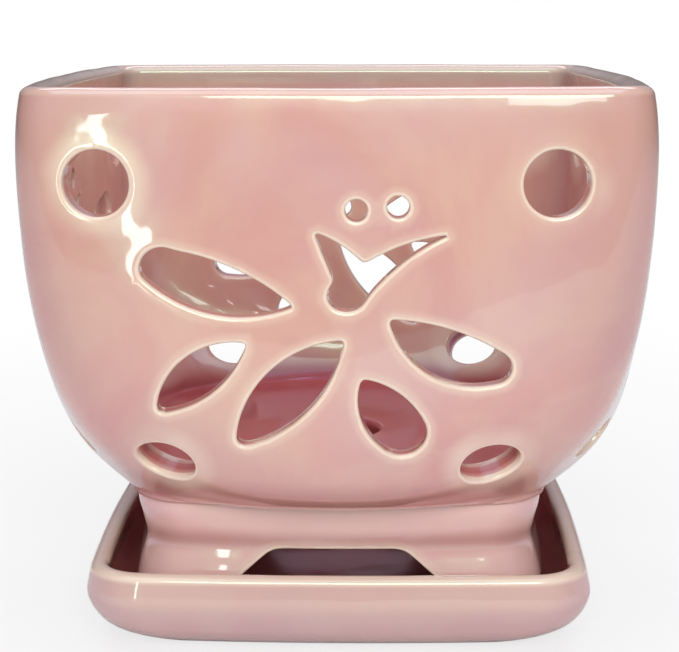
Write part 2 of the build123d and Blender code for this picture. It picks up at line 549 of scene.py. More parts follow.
def side_cuts(rise):
    """All the cuts of one side, with its petals and eyes raised."""
    cuts = [make_cut(name, upright(outline + (0, rise)), straight_in, hole_roll)
            for name, outline in petals.items()]
    for x, z in eye_shares:
        centre = np.array([pattern_shift + x * pattern_width, -bowl_width / 2,
                           pattern_height + rise + z * pattern_width])
        ring = circle(centre, -straight_in, eye_radius, 0.5)
        cuts.append(make_cut("eye", ring, straight_in, eye_roll))
    for (x, z), height_share in ((upper_hole, 1.0), (lower_hole, lower_height_share)):
        for side in (-1, 1):
            place = outer_side.place(pattern_shift + side * x, z)
            centre, normal = pot_skin.point(*place), pot_skin.normal(*place)
            ring = circle(centre, normal, hole_radius, height_share=height_share)
            cuts.append(make_cut("round_hole", ring, -normal, hole_roll, tilted=True))
    return cuts


front_cuts, back_cuts = side_cuts(0.0), side_cuts(back_rise)
for cut in front_cuts[:6]:
    low, high = cut["outlines"][0].min(axis=0), cut["outlines"][0].max(axis=0)
    print(cut["name"], "spans", (high - low).round(1), "mm of the outer skin")

# %% The standing edge, with the arch in it
straight_count = 16


def standing_chain(outline, up):
    """The edge from corner to corner: straight, over the arch, straight."""
    reach = pot_skin.reach(up)
    right = np.linspace(outline[-1, 0], reach, straight_count)[1:]
    right = np.column_stack([right, np.full(len(right), up)])
    left = right[::-1] * (-1, 1)
    return np.vstack([left, outline, right])


arch_outer = outer_side.pierce(upright(arch), straight_in)
arch_inner = foot_side.pierce(upright(arch), straight_in)
arch_outer[[0, -1], 1] = 0
arch_inner[[0, -1], 1] = pot_skin.length
chains = (standing_chain(arch_outer, 0.0), standing_chain(arch_inner, pot_skin.length))
print("the standing edge has", len(chains[0]), "points on each side of the wall")

# %% [markdown]
# The unrolled quarter of the skin is covered with a grid of four-sided faces, closer together
# wherever the line turns. Round the cuts the grid is left out, and a Delaunay triangulation
# fills the gap between the grid and the outlines. Extra rings of points follow each outline, so
# that its edge can be rolled over smoothly.


# %% Rows and columns of the grid
def row_places(skin, steps, most_turn=radians(11)):
    """Lengths up the line at which rows lie: closer together where the line turns."""
    length = np.diff(skin.up)
    heading = np.unwrap(np.arctan2(np.diff(skin.line[:, 0]), np.diff(skin.line[:, 1])))
    turning = np.r_[0, np.abs(np.diff(heading))]
    cost = np.r_[0, np.cumsum(length / steps[:-1] + turning / most_turn)]
    return np.interp(np.linspace(0, cost[-1], int(np.ceil(cost[-1])) + 1), cost, skin.up)


def column_places(count, crowding=1.25):
    """Shares of a quarter's half length at which columns lie: closer together at its corners."""
    return np.sin(np.linspace(-crowding, crowding, count)) / sin(crowding)


def roll_places(roll):
    """Distances from an edge at which the points of its roll lie."""
    return roll * (1 - np.sin(np.radians([67.5, 45, 22.5, 0])))


# %% Distances and insides on the unrolled skin
chunk_size = 2000


def near_points(points, outline, margin):
    """Indices of the points near an outline, some thousand at a time."""
    low, high = outline.min(axis=0) - margin, outline.max(axis=0) + margin
    near = np.flatnonzero(np.all((points >= low) & (points <= high), axis=1))
    return np.array_split(near, len(near) // chunk_size + 1) if len(near) else []


def distance_to(points, outline, closed, far):
    """Each point's distance to a line, or far where it is further off than that."""
    distance = np.full(len(points), far)
    start = outline if closed else outline[:-1]
    step = (np.roll(outline, -1, axis=0) if closed else outline[1:]) - start
    for chunk in near_points(points, outline, far):
        offset = points[chunk, None] - start
        part = np.clip(np.sum(offset * step, axis=2) / np.sum(step * step, axis=1), 0, 1)
        gap = np.linalg.norm(offset - part[..., None] * step, axis=2)
        distance[chunk] = np.minimum(gap.min(axis=1), far)
    return distance


def inside(points, outline):
    """Which points lie inside a closed outline."""
    hit = np.zeros(len(points), bool)
    ends = np.roll(outline, -1, axis=0)
    rise = ends[:, 1] - outline[:, 1]
    slope = (ends[:, 0] - outline[:, 0]) / np.where(rise == 0, 1, rise)
    for chunk in near_points(points, outline, 0):
        x, y = points[chunk, 0, None], points[chunk, 1, None]
        spans = (outline[:, 1] > y) != (ends[:, 1] > y)
        crossing = outline[:, 0] + (y - outline[:, 1]) * slope
        hit[chunk] = np.sum(spans & (x < crossing), axis=1) % 2 == 1
    return hit


def offset_outline(outline, gap, closed):
    """The outline moved to its right by a gap, away from the hole."""
    if closed:
        run = np.roll(outline, -1, axis=0) - np.roll(outline, 1, axis=0)
    else:
        run = np.gradient(outline, axis=0)
    run /= np.linalg.norm(run, axis=1, keepdims=True)
    return outline + gap * np.column_stack([run[:, 1], -run[:, 0]])


print("a roll of 1.3 mm has points at", roll_places(1.3).round(2), "mm from its edge")


# %% Lay out a quarter of the skin
edge_far = 12.0
ring_gaps = (0.8, 2.1)
grid_gap = 4.4
loose_gap = 0.9
seam_clearance, end_clearance, least_ring_share = 0.5, 0.05, 0.95


class Edge:
    """An outline on the unrolled skin, with the roll of its edge."""

    def __init__(self, outline, roll, axis=None, closed=True):
        self.outline, self.roll, self.axis, self.closed = outline, roll, axis, closed
        self.away = 1 if turns_left(outline) else -1

    def rings(self):
        for gap in roll_places(self.roll):
            yield gap, offset_outline(self.outline, self.away * gap, self.closed)
        for number, gap in enumerate(ring_gaps):
            ring = offset_outline(self.outline, self.away * (self.roll + gap), self.closed)
            yield self.roll + gap, ring[:: number + 2]


class Layout:
    """Points and faces of the unrolled quarter, with its cuts left out."""

    def __init__(self, skin, rows, columns, edges=()):
        self.skin, self.rows, self.columns, self.edges = skin, rows, columns, edges
        reach = skin.reach(rows)
        grid = np.stack(np.broadcast_arrays(columns * reach[:, None], rows[:, None]), axis=-1)
        flat, shape = grid.reshape(-1, 2), grid.shape[:2]
        gap, hidden = self.gap(flat).reshape(shape), self.hidden(flat).reshape(shape)
        clear = (gap > grid_gap) & ~hidden
        self.free = clear[:-1, :-1] & clear[1:, :-1] & clear[:-1, 1:] & clear[1:, 1:]
        number = np.arange(len(flat)).reshape(shape)
        quads = np.stack([number[:-1, :-1], number[:-1, 1:], number[1:, 1:], number[1:, :-1]], -1)
        self.points, self.faces, self.loops = [flat], quads[self.free].tolist(), []
        if edges:
            self.fill(flat, number, gap, hidden)
        self.points = np.vstack(self.points)

    def gap(self, points):
        gaps = [distance_to(points, e.outline, e.closed, edge_far) for e in self.edges]
        return np.min([np.full(len(points), edge_far), *gaps], axis=0)

    def hidden(self, points):
        covers = [inside(points, e.outline) for e in self.edges]
        return np.any([np.zeros(len(points), bool), *covers], axis=0)

    def in_free_cell(self, points):
        row = np.clip(np.searchsorted(self.rows, points[:, 1]) - 1, 0, len(self.rows) - 2)
        share = points[:, 0] / self.skin.reach(points[:, 1])
        column = np.clip(np.searchsorted(self.columns, share) - 1, 0, len(self.columns) - 2)
        return self.free[row, column]

    def fill(self, flat, number, gap, hidden):
        """Fills what the grid leaves open, up to the outlines of the cuts."""
        free = np.pad(self.free, 1).astype(int)
        touched = free[:-1, :-1] + free[:-1, 1:] + free[1:, :-1] + free[1:, 1:]
        seam = np.zeros(gap.shape, bool)
        seam[:, [0, -1]] = True
        loose = gap > max(e.roll for e in self.edges) + ring_gaps[-1] + loose_gap
        keep = ((touched > 0) | seam | loose & ~hidden) & ((touched < 4) | seam)
        keep[[0, -1]] = False
        kept = np.flatnonzero(keep)
        local = {index: place for place, index in enumerate(kept)}
        points, total, lines = [flat[kept]], len(kept), []

        def take(new):
            nonlocal total
            points.append(new)
            total += len(new)
            return list(range(total - len(new), total))

        loops = []
        for edge in self.edges:
            loop = take(edge.outline)
            loops.append(loop)
            lines += zip(loop, loop[1:] + loop[:1]) if edge.closed else zip(loop, loop[1:])
        for edge in self.edges:
            for ring_gap, ring in edge.rings():
                along, up = ring.T
                good = np.abs(along) < self.skin.reach(up) - seam_clearance
                good &= (up > end_clearance) & (up < self.skin.length - end_clearance)
                ring = ring[good]
                good = self.gap(ring) > least_ring_share * ring_gap
                take(ring[good & ~self.hidden(ring) & ~self.in_free_cell(ring)])
        lines += self.border_lines(number, local)
        points = np.vstack(points)
        corners, _, triangles, originals, _, _ = delaunay_2d_cdt(
            [Vector(p) for p in points], lines, [], 0, 1e-7)
        corners = np.array([tuple(c) for c in corners])
        triangles = np.array([t for t in triangles if len(t) == 3])
        middles = corners[triangles].mean(axis=1)
        good = ~self.hidden(middles) & ~self.in_free_cell(middles)
        good &= np.abs(middles[:, 0]) < self.skin.reach(middles[:, 1])
        triangles = triangles[good]
        self.points.append(corners)
        names = np.arange(len(corners)) + len(flat)
        place_of = {}
        for corner, sources in enumerate(originals):
            for source in sources:
                place_of[source] = corner
                if source < len(kept):
                    names[corner] = kept[source]
        self.faces += names[triangles].tolist()
        self.loops = [[int(names[place_of[i]]) for i in loop] for loop in loops]

    def border_lines(self, number, local):
        """Grid lines between the cells that are kept and those that are filled, and the seams."""
        free = np.pad(self.free, 1)
        across = free[1:-1, 1:] != free[1:-1, :-1]
        across[:, [0, -1]] = True
        level = free[1:, 1:-1] != free[:-1, 1:-1]
        lines = [(number[r, c], number[r + 1, c]) for r, c in zip(*np.nonzero(across))]
        lines += [(number[r, c], number[r, c + 1]) for r, c in zip(*np.nonzero(level))]
        return [(local[a], local[b]) for a, b in lines if a in local and b in local]


outer_step, inner_step, end_step, end_reach = 2.8, 3.8, 1.6, 2.4
pot_columns = 57
pot_steps = np.where(pot_skin.up < lip_up, outer_step, inner_step)
ends = np.r_[0, roll_places(standing_roll)[:-1], standing_roll, end_step]
rows = row_places(pot_skin, pot_steps)
rows = rows[(rows > end_reach) & (rows < pot_skin.length - end_reach)]
rows = np.unique(np.r_[ends, rows, pot_skin.length - ends])


def pot_layout(cuts):
    """The unrolled quarter of the pot with one side's cuts in it."""
    edges = [Edge(cut["outlines"][k], cut["rolls"][k], cut["axis"]) for k in (0, 1) for cut in cuts]
    edges += [Edge(chain, standing_roll, closed=False) for chain in chains]
    return Layout(pot_skin, rows, column_places(pot_columns), edges)


front_layout, back_layout = pot_layout(front_cuts), pot_layout(back_cuts)
print("the quarter has", len(rows), "rows,", len(front_layout.points), "points and",
      len(front_layout.faces), "faces")

# %% [markdown]
# Now the flat layout is wrapped back onto the pot. Close to an outline each point sinks into the
# clay along a quarter circle, which rolls the edge over. The walls of the cuts then join the
# outer outlines to the inner ones.


# %% Wrap the layout onto the pot
normal_margin = 0.06
wall_rows = 3
still_edge, still_height = 6.0, 4.0


def sink(skin, points, edges):
    """Points of the layout in space, with the edges of the cuts rolled over."""
    place = skin.point(points[:, 0], points[:, 1])
    up = np.clip(points[:, 1], normal_margin, skin.length - normal_margin)
    normal = skin.normal(points[:, 0], up)
    level = normal * (1, 1, 0)
    size = np.linalg.norm(level, axis=1, keepdims=True)
    level = np.divide(level, size, out=np.zeros_like(level), where=size > 1e-6)
    nearest = np.full(len(points), edge_far)
    for edge in edges:
        gap = distance_to(points, edge.outline, edge.closed, edge_far)
        nearest = np.minimum(nearest, gap)
        rolled = gap < edge.roll
        depth = edge.roll - np.sqrt(np.maximum(edge.roll**2 - (edge.roll - gap[rolled])**2, 0))
        if edge.axis is None:
            into = -level[rolled]
        else:
            into = edge.axis * np.sign(-normal[rolled] @ edge.axis)[:, None]
        place[rolled] += depth[:, None] * into
    return place, nearest


class Quarter:
    """A quarter of a skin in space: its places, faces and the values stored at its points."""

    def __init__(self, layout, is_back=0.0):
        self.places, gaps = sink(layout.skin, layout.points, layout.edges)
        self.faces = [tuple(face) for face in layout.faces]
        hole_gaps = [distance_to(layout.points, edge.outline, True, edge_far)
                     for edge in layout.edges if edge.axis is not None]
        same = np.ones(len(gaps))
        self.stored = {
            "edge_gap": gaps, "hole_gap": np.min([edge_far * same, *hole_gaps], axis=0),
            "inside": (layout.points[:, 1] > layout.skin.top).astype(float),
            "cut": 0 * same, "is_back": is_back * same,
        }

    def take(self, places, stored):
        self.places = np.vstack([self.places, places])
        for name, values in self.stored.items():
            more = np.broadcast_to(stored.get(name, values[0]), len(places))
            self.stored[name] = np.r_[values, more]

    def join(self, outer, inner, closed, reverse=False):
        """A wall of faces from one outline to the other."""
        count = len(outer)
        rows = [outer]
        for step in range(1, wall_rows + 1):
            part = step / (wall_rows + 1)
            start = len(self.places)
            length = np.linalg.norm(self.places[outer] - self.places[inner], axis=1)
            self.take(blend(self.places[outer], self.places[inner], part), {
                "edge_gap": length * min(part, 1 - part), "hole_gap": edge_far,
                "inside": part, "cut": 1.0})
            rows.append(list(range(start, start + count)))
        rows.append(inner)
        for low, high in zip(rows, rows[1:]):
            for i in range(count if closed else count - 1):
                k = (i + 1) % count
                face = (low[i], low[k], high[k], high[i])
                self.faces.append(face[::-1] if reverse else face)

    def take_in(self, other):
        """Takes in another quarter, for other sides of the same piece."""
        start = len(self.places)
        self.take(other.places, other.stored)
        self.faces += [tuple(int(i) + start for i in face) for face in other.faces]

    def wobble(self):
        """How far the glaze may wander: not at an edge, nor where the pot stands."""
        share = (self.places[:, 2] - standing_height) / still_height
        return np.clip(self.stored["edge_gap"] / still_edge, 0, 1) * np.clip(share, 0, 1)

    def mesh(self, name):
        used = np.unique(np.concatenate([np.array(face) for face in self.faces]))
        number = np.full(len(self.places), -1)
        number[used] = np.arange(len(used))
        mesh = bpy.data.meshes.new(name)
        faces = [tuple(int(number[i]) for i in face) for face in self.faces]
        mesh.from_pydata((self.places[used] * mm).tolist(), [], faces)
        for title, values in {**self.stored, "wobble": self.wobble()}.items():
            layer = mesh.attributes.new(title, "FLOAT", "POINT")
            layer.data.foreach_set("value", values[used].astype(np.float32))
        mesh.polygons.foreach_set("use_smooth", [True] * len(faces))
        return mesh


def pot_quarter(layout, count, is_back=0.0):
    """A quarter of the pot, with the walls of its cuts."""
    quarter = Quarter(layout, is_back)
    for number in range(count):
        quarter.join(layout.loops[number], layout.loops[count + number], closed=True)
    quarter.join(layout.loops[-2], layout.loops[-1], closed=False, reverse=True)
    return quarter


pot_quarters = pot_quarter(front_layout, len(front_cuts))
pot_quarters.take_in(pot_quarter(back_layout, len(back_cuts), is_back=1.0))
pot_mesh = pot_quarters.mesh("pot_quarters")
print("two quarters of the pot have", len(pot_mesh.polygons), "faces")

# %% [markdown]
# The saucer is a closed skin too, without any cuts: its line starts in the middle of the
# underside and ends in the middle of the floor inside. At both ends the section shrinks to a
# point, and the points there are merged later.

# %% The saucer's line
saucer_shares = [
    (0.00, 0.00), (0.07, 0.25), (0.19, 0.54), (0.31, 0.74),
    (0.43, 0.86), (0.57, 0.95), (0.74, 1.00), (1.00, 0.94),
]
saucer_edge_radius = 1.0
saucer_edge_end = 308
centre_radius = 0.004
floor_rounding, rounded_stations = 40, 25
floor_gap, arc_gap, edge_inset = 0.3, 0.05, 0.34
tip_half_width = 2.0
saucer_step, saucer_columns = 3.5, 41

share = np.linspace(0, 1, 120)
height_shares, width_shares = (through(list(column), share) for column in zip(*saucer_shares))
saucer_outside = stations(
    (saucer_height - saucer_lip_radius) * height_shares,
    blend(saucer_base_width, saucer_width, width_shares) / 2, saucer_bulge, saucer_corner_radius,
)
saucer_inside = moved_in(saucer_outside, saucer_wall)[::-1]
saucer_inside = saucer_inside[saucer_inside[:, 0] > saucer_wall + floor_gap]
floor_start = saucer_inside[-1].copy()
floor_start[0] = saucer_wall
edge_middle = stations(saucer_edge_radius, saucer_base_width / 2 - edge_inset, saucer_bulge,
                       saucer_corner_radius - edge_inset)[0]
edge_arc = rounded(edge_middle, saucer_edge_radius, saucer_edge_radius, 270, saucer_edge_end)
saucer_outside = saucer_outside[saucer_outside[:, 0] > edge_arc[-1, 0] + arc_gap]


def to_the_centre(height, outer, steps=24):
    """A flat ring of stations that closes in the middle."""
    ring = level_ring(height, outer, tip_half_width, steps)
    tip = stations(height, centre_radius, *round_plan(centre_radius, centre_radius / 4))
    return np.vstack([ring, tip])


saucer_floor = to_the_centre(saucer_wall, floor_start)
wall_and_floor = np.vstack([saucer_inside, saucer_floor])
last = len(saucer_inside)
first = last - rounded_stations
for _ in range(floor_rounding):
    middle = (wall_and_floor[:-2] + 2 * wall_and_floor[1:-1] + wall_and_floor[2:]) / 4
    wall_and_floor[first:last + 1] = middle[first - 1:last]
saucer_skin = Skin(
    to_the_centre(0.0, edge_arc[0])[::-1], edge_arc, saucer_outside,
    over_lip(saucer_outside[-1], saucer_wall, saucer_lip_radius), wall_and_floor,
)
saucer_rows = row_places(saucer_skin, np.full(len(saucer_skin.up), saucer_step))
saucer_quarter = Quarter(Layout(saucer_skin, saucer_rows, column_places(saucer_columns)))
saucer_mesh = saucer_quarter.mesh("saucer_quarter")
print("a quarter of the saucer has", len(saucer_mesh.polygons), "faces")

# %% [markdown]
# All sides of a piece are alike, but for the pattern on the pot's back, which sits a little
# higher. A Geometry Nodes tree sets copies of the quarters round the upright axis, merges them
# along the corners, and lets the surface wander by a tenth of a millimetre or so, as hand-finished
# clay and thick glaze do.


# %% Helpers for node trees
def add(tree, kind, inputs=None, **settings):
    """A node with its settings and inputs; an input is a value or another node's socket."""
    item = tree.nodes.new(kind)
    for name, value in settings.items():
        setattr(item, name, value)
    for name, value in (inputs or {}).items():
        if isinstance(value, bpy.types.NodeSocket):
            tree.links.new(value, item.inputs[name])
        else:
            item.inputs[name].default_value = value
    return item


def calculated(tree, operation, *values):
    return add(tree, "ShaderNodeMath", dict(enumerate(values)), operation=operation).outputs[0]


# %% Geometry Nodes: four sides from one
def four_sides_tree():
    tree = bpy.data.node_groups.new("four_sides", "GeometryNodeTree")
    for name, kind in (("Quarter", "Geometry"), ("Sides", "Int"), ("Back side", "Int"),
                       ("Merge distance", "Float"), ("Wobble", "Float"), ("Wobble scale", "Float"),
                       ("Seed", "Float"), ("Glaze", "Material")):
        tree.interface.new_socket(name, in_out="INPUT", socket_type=f"NodeSocket{kind}")
    tree.interface.new_socket("Piece", in_out="OUTPUT", socket_type="NodeSocketGeometry")
    given = tree.nodes.new("NodeGroupInput").outputs

    def made(kind, inputs=None, **settings):
        return add(tree, kind, inputs, **settings).outputs[0]

    def named(name):
        return made("GeometryNodeInputNamedAttribute", {"Name": name}, data_type="FLOAT")

    corners = made("GeometryNodeMeshLine", {"Count": given["Sides"], "Offset": (0, 0, 0)})
    index = made("GeometryNodeInputIndex")
    angle = calculated(tree, "MULTIPLY", calculated(tree, "DIVIDE", 2 * pi, given["Sides"]), index)
    rotation = made("FunctionNodeEulerToRotation", {0: made("ShaderNodeCombineXYZ", {"Z": angle})})
    kinds = add(tree, "GeometryNodeSeparateGeometry", {
        "Geometry": given["Quarter"], "Selection": named("is_back")})
    at_back = calculated(tree, "COMPARE", index, given["Back side"], 0.5)
    elsewhere = calculated(tree, "SUBTRACT", 1.0, at_back)
    copies = tree.nodes.new("GeometryNodeJoinGeometry")
    for kind, chosen in (("Selection", at_back), ("Inverted", elsewhere)):
        sides = made("GeometryNodeInstanceOnPoints", {
            "Points": corners, "Instance": kinds.outputs[kind], "Selection": chosen,
            "Rotation": rotation})
        tree.links.new(sides, copies.inputs[0])
    real = made("GeometryNodeRealizeInstances", {"Geometry": copies.outputs[0]})
    merged = made("GeometryNodeMergeByDistance", {
        "Geometry": real, "Distance": given["Merge distance"]})
    noise = made("ShaderNodeTexNoise", {
        "W": given["Seed"], "Scale": given["Wobble scale"], "Detail": 1.0}, noise_dimensions="4D")
    height = calculated(tree, "MULTIPLY", calculated(tree, "SUBTRACT", noise, 0.5),
                        given["Wobble"])
    limited = calculated(tree, "MULTIPLY", height, named("wobble"))
    shift = made("ShaderNodeVectorMath", {0: made("GeometryNodeInputNormal"), "Scale": limited},
                 operation="SCALE")
    moved = made("GeometryNodeSetPosition", {"Geometry": merged, "Offset": shift})
    glazed = made("GeometryNodeSetMaterial", {"Geometry": moved, "Material": given["Glaze"]})
    tree.links.new(glazed, tree.nodes.new("NodeGroupOutput").inputs["Piece"])
    return tree


four_sides = four_sides_tree()


def all_round(name, quarter, glaze, wobble, seed, back_side=-1):
    """A piece with four sides like the quarter, as one plain mesh."""
    piece = bpy.data.objects.new(name, quarter)
    bpy.context.scene.collection.objects.link(piece)
    modifier = piece.modifiers.new("four sides", "NODES")
    modifier.node_group = four_sides
    values = {"Sides": 4, "Back side": back_side, "Merge distance": 0.01 * mm,
              "Wobble": wobble * mm, "Wobble scale": 38.0, "Seed": seed, "Glaze": glaze}
    for socket in four_sides.interface.items_tree:
        if socket.name in values:
            modifier[socket.identifier] = values[socket.name]
    graph = bpy.context.evaluated_depsgraph_get()
    mesh = bpy.data.meshes.new_from_object(piece.evaluated_get(graph), depsgraph=graph,
                                           preserve_all_data_layers=True)
    piece.modifiers.clear()
    piece.data = mesh
    triangles = sum(len(face.vertices) - 2 for face in mesh.polygons)
    print(name, "has", len(mesh.vertices), "points and", triangles, "triangles")
    return piece


# %% [markdown]
# The glaze is clear and thick over a pink body colour. It drifts between a peachy and a lavender
# pink, and breaks to cream wherever it runs thin: along every cut and over the lip, where a painted
# highlight also makes the cream line crisper and brighter. The distance to the nearest cut was
# stored on the mesh, so the cream follows the edges by itself. Painted shade turns the glaze deep
# red inside and under the pot and on the walls of the cuts, where some glaze also pools, and in the
# grooves at the crease and the waist. Painted shade also browns the corners, and painted light
# makes the foot paler. A thin film gives the pearly shimmer of the surface.


# %% Nodes that the glazes share
def mapped(tree, value, low, high, start=0.0, end=1.0, smooth=True):
    """A value from start to end while its input runs from low to high."""
    item = add(tree, "ShaderNodeMapRange", {
        "Value": value, "From Min": low, "From Max": high, "To Min": start, "To Max": end},
        interpolation_type="SMOOTHSTEP" if smooth else "LINEAR")
    return item.outputs["Result"]


def mixed(tree, factor, first, second):
    item = add(tree, "ShaderNodeMix", {0: factor, 6: first, 7: second}, data_type="RGBA")
    return item.outputs[2]


def stored(tree, name):
    return add(tree, "ShaderNodeAttribute", attribute_name=name).outputs["Fac"]


# %% The glaze
peach_pink = (0.665, 0.405, 0.320, 1)
rose_pink = (0.630, 0.325, 0.277, 1)
lavender_pink = (0.610, 0.370, 0.375, 1)
pale_pink = (0.820, 0.535, 0.490, 1)
pale_beige = (0.540, 0.395, 0.360, 1)
corner_shade_tan = (0.520, 0.290, 0.225, 1)
brim_olive = (0.480, 0.420, 0.330, 1)
shade_and_pool_red = (0.400, 0.065, 0.070, 1)
crease_shade_red = (0.360, 0.130, 0.115, 1)
cream = (0.860, 0.720, 0.550, 1)
clay = (0.800, 0.720, 0.620, 1)


def make_glaze(name, seed, pale, bare_height, lip_height, lip_share, deep_height, pale_height,
               shade_bands=()):
    """A glaze whose colours change at the heights of its piece, which are in millimetres."""
    material = bpy.data.materials.new(name)
    material.use_nodes = True
    tree = material.node_tree
    shader = tree.nodes["Principled BSDF"].inputs
    place = add(tree, "ShaderNodeTexCoord").outputs["Object"]
    height = add(tree, "ShaderNodeSeparateXYZ", {0: place}).outputs["Z"]
    level = add(tree, "ShaderNodeVectorMath", {0: place, 1: (1, 1, 0)}, operation="MULTIPLY")
    reach = add(tree, "ShaderNodeVectorMath", {0: level.outputs[0]}, operation="LENGTH")
    is_inside = stored(tree, "inside")

    def noise(scale, detail, shift, distortion=0.0):
        return add(tree, "ShaderNodeTexNoise", {
            "Vector": place, "W": seed + shift, "Scale": scale, "Detail": detail,
            "Distortion": distortion}, noise_dimensions="4D").outputs["Fac"]

    def over(value, low, high, start, end):
        """A value that changes while another, in millimetres, runs from low to high."""
        return mapped(tree, value, low * mm, high * mm, start, end)

    def product(first, second):
        return calculated(tree, "MULTIPLY", first, second)

    def larger(first, second):
        return calculated(tree, "MAXIMUM", first, second)

    fine, pools = noise(320.0, 2.0, 9.0), noise(34.0, 2.0, 7.0)
    clouds = mapped(tree, noise(24.0, 4.0, 0.0, 1.2), 0.36, 0.64)
    drifts = mapped(tree, noise(15.0, 3.0, 5.0, 0.8), 0.50, 0.72, 0.0, 0.5)
    colour = mixed(tree, drifts, mixed(tree, clouds, rose_pink, peach_pink), lavender_pink)
    # Painted shade: the corners, far from the axis, turn a darker tan-brown, as they face away from
    # the lamps and mirror the dark room.
    colour = mixed(tree, over(reach.outputs["Value"], 82, 95, 0.0, 0.45), colour, corner_shade_tan)
    # Below pale_height the colour turns pale. On the pot this paints the foot lighter, partly for a
    # thinner glaze and partly as painted light where the bowl's overhang shades it. On the saucer
    # it is the saucer's own paler tone.
    low = over(height, pale_height - 1.5, pale_height + 1.5, 0.6, 0.0)
    colour = mixed(tree, low, colour, pale)
    # Painted shade and painted reflection: dark red bands just above the crease under the bowl and
    # at the foot's waist, where shade falls and the glaze mirrors the dark table edge.
    for middle, spread, most in shade_bands:
        gap = calculated(tree, "ABSOLUTE", calculated(tree, "SUBTRACT", height, middle * mm))
        colour = mixed(tree, over(gap, 0, spread, most, 0.0), colour, crease_shade_red)

    # Painted shade: deep red inside the pot, its foot and the saucer below deep_height, fading near
    # the lip, and on the walls of the cuts, where some glaze also pools.
    shade_and_pool = product(over(height, deep_height - 3, deep_height + 3, 0.82, 0.10), is_inside)
    shade_and_pool = product(shade_and_pool, over(height, lip_height - 9, lip_height - 1, 1.0, 0.0))
    cut_depth = over(height, deep_height + 8, deep_height + 26, 0.9, 0.5)
    shade_and_pool = larger(shade_and_pool, product(stored(tree, "cut"), cut_depth))
    brim = product(over(height, lip_height - 8, lip_height - 3, 0.0, 0.7), is_inside)
    colour = mixed(tree, brim, mixed(tree, shade_and_pool, colour, shade_and_pool_red), brim_olive)

    wander = calculated(tree, "MULTIPLY_ADD", fine, 0.8, -0.4)
    edge = calculated(tree, "ADD", stored(tree, "edge_gap"), wander)
    # Cream where the glaze breaks thin along the edges. The crisp line right at each edge is also a
    # painted highlight on the rolled edge.
    line, halo = mapped(tree, edge, 0.5, 1.3, 0.8, 0.0), mapped(tree, edge, 0.8, 3.0, 0.28, 0.0)
    break_and_glint = product(larger(line, halo), mapped(tree, is_inside, 0.3, 0.9, 1.0, 0.35))
    hole_halo = product(mapped(tree, stored(tree, "hole_gap"), 1.0, 7.0, 1.0, 0.0),
                        mapped(tree, pools, 0.36, 0.66, 0.12, 0.62))
    # Cream over the lip comes partly from the glaze breaking and partly from a painted highlight,
    # which is strongest on the saucer's lip.
    lip = over(height, lip_height - 2.4, lip_height - 1.0, 0.0, lip_share)
    bare = over(height, bare_height, bare_height + 0.3, 1.0, 0.0)
    colour = mixed(tree, larger(break_and_glint, larger(hole_halo, lip)), colour, cream)
    tree.links.new(mixed(tree, bare, colour, clay), shader["Base Color"])

    coat = product(mapped(tree, bare, 0.0, 1.0, 0.95, 0.0), mapped(tree, shade_and_pool, 0.3, 0.8, 1.0, 0.1))
    tree.links.new(mapped(tree, bare, 0.0, 1.0, 0.16, 0.7), shader["Roughness"])
    tree.links.new(coat, shader["Coat Weight"])
    for socket, value in (("Coat Roughness", 0.03), ("Coat IOR", 1.5), ("IOR", 1.55),
                          ("Thin Film Thickness", 380), ("Thin Film IOR", 1.38)):
        shader[socket].default_value = value

    wavy = add(tree, "ShaderNodeBump", {
        "Strength": 0.5, "Distance": 0.8 * mm, "Height": noise(46.0, 2.0, 2.0)})
    peel = add(tree, "ShaderNodeBump", {
        "Strength": 0.08, "Distance": 0.03 * mm, "Height": fine, "Normal": wavy.outputs[0]})
    for socket in ("Normal", "Coat Normal"):
        tree.links.new(peel.outputs[0], shader[socket])
    return material


# %% The two pieces, glazed
waist_share = 0.69
waist_height = pot_bottom + waist_share * foot_height
pot_glaze = make_glaze(
    "pot_glaze_cream_and_painted_light", 1.0, pale_pink, bare_height=pot_bottom + 0.25,
    lip_height=rim_height, lip_share=0.25, deep_height=crease_height + 11,
    pale_height=crease_height,
    shade_bands=[(crease_height + 4.5, 7.0, 0.55), (waist_height, 4.0, 0.5)])
saucer_glaze = make_glaze(
    "saucer_glaze_cream_and_painted_light", 7.0, pale_beige, bare_height=0.15, lip_height=saucer_height,
    lip_share=0.7, deep_height=saucer_height, pale_height=2 * saucer_height)
pot = all_round("glazed_pot", pot_mesh, pot_glaze, 0.5, 3.0, back_side=2)
saucer = all_round("glazed_saucer", saucer_mesh, saucer_glaze, 0.3, 8.0)
print("glazes:", pot_glaze.name, saucer_glaze.name)

# %% [markdown]
# Each piece stands for its solid and moves with it.

# %% Pieces and bodies
for piece, body in ((pot, "pot"), (saucer, "saucer")):
    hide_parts(body)
    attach(piece, body)

# %% [markdown]
# A glossy glaze is mostly seen by what it reflects. The pot stands on a white table, whose front
# edge ends the pale lower half of its front, and the room beyond is darker. Large soft lamps give
# the even light. Two window panes draw the strip under the rim, and a narrow upright gap, left of
# the camera, draws the long broken highlight on the left.

# %% Table
scene = bpy.context.scene
table_size = 6.0
table_front = -0.38
half = table_size / 2
table_mesh = bpy.data.meshes.new("table")
table_mesh.from_pydata([(-half, table_front, 0), (half, table_front, 0),
                        (half, table_size, 0), (-half, table_size, 0)], [], [(0, 1, 2, 3)])
table = bpy.data.objects.new("table", table_mesh)
scene.collection.objects.link(table)
table_white = bpy.data.materials.new("white_table")
table_white.use_nodes = True
table_tree = table_white.node_tree
paint = table_tree.nodes["Principled BSDF"]
paint.inputs["Base Color"].default_value = (0.82, 0.82, 0.82, 1)
paint.inputs["Roughness"].default_value = 0.6
table_mesh.materials.append(table_white)
table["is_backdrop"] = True
print("the table is", table_size, "m wide")

